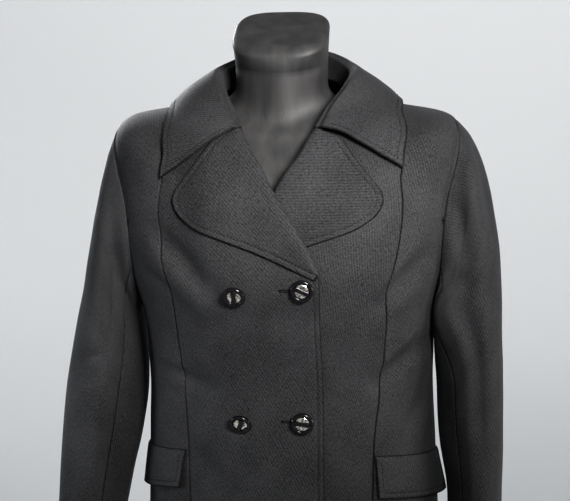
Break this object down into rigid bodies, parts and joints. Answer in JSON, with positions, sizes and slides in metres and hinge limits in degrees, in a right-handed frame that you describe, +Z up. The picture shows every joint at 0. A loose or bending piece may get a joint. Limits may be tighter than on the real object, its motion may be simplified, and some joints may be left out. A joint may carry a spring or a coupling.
{
  "type": "double-breasted coat on a dress form",
  "caption": "Black double-breasted coat with notched lapels and flap pockets on a limbless dress form with a round floor stand.",
  "frame": {"origin": "middle of the base's underside, on the floor", "axes": "+Z up, +X towards the wearer's left, the coat's front faces -Y"},
  "size_m": [0.5767, 0.36, 1.521],
  "materials": {
    "twill": "black fine twill, faint sheen",
    "form_cover": "black stretch cover, satin",
    "button_rim": "black, polished",
    "button_metal": "pale metal",
    "stand_steel": "dark satin"
  },
  "bodies": {
    "root": {"back_left": "twill", "back_right": "twill", "button_1": "button_rim", "button_2": "button_rim", "button_3": "button_rim", "button_4": "button_rim", "button_face_1": "button_metal", "button_face_2": "button_metal", "button_face_3": "button_metal", "button_face_4": "button_metal", "collar": "twill", "form_body": "form_cover", "front_left": "twill", "front_right": "twill", "lapel_left": "twill", "lapel_right": "twill", "pocket_flap_left": "twill", "pocket_flap_right": "twill", "side_front_left": "twill", "side_front_right": "twill", "sleeve_under_left": "twill", "sleeve_under_right": "twill", "sleeve_upper_left": "twill", "sleeve_upper_right": "twill", "stand_base": "stand_steel", "stand_pole": "stand_steel"}
  },
  "joints": []
}
